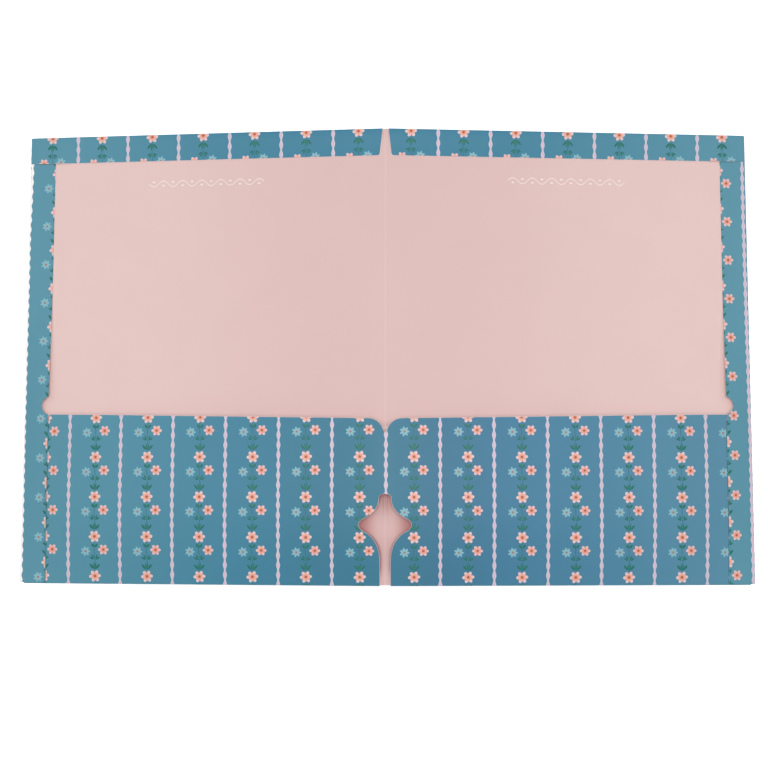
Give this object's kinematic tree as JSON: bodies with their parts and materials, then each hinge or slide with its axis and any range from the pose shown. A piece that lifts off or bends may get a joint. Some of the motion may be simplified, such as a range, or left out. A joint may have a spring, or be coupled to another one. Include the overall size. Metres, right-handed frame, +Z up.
{
  "type": "pocket folder",
  "caption": "Opened presentation folder folded from one sheet of printed card, with a pocket strip across both covers, narrow side and top flaps and a star-shaped opening on the spine.",
  "frame": {"origin": "on the surface that the outer folds rest on, under the middle of the opened folder", "axes": "+X across both covers to the right one, +Y along the spine to the head of the folder, +Z up"},
  "size_m": [0.4808, 0.2984, 0.0281],
  "materials": {
    "printed_card": "satin coated card, blue floral stripe print outside, plain pink inside"
  },
  "bodies": {
    "root": {"folder": "printed_card"}
  },
  "joints": []
}
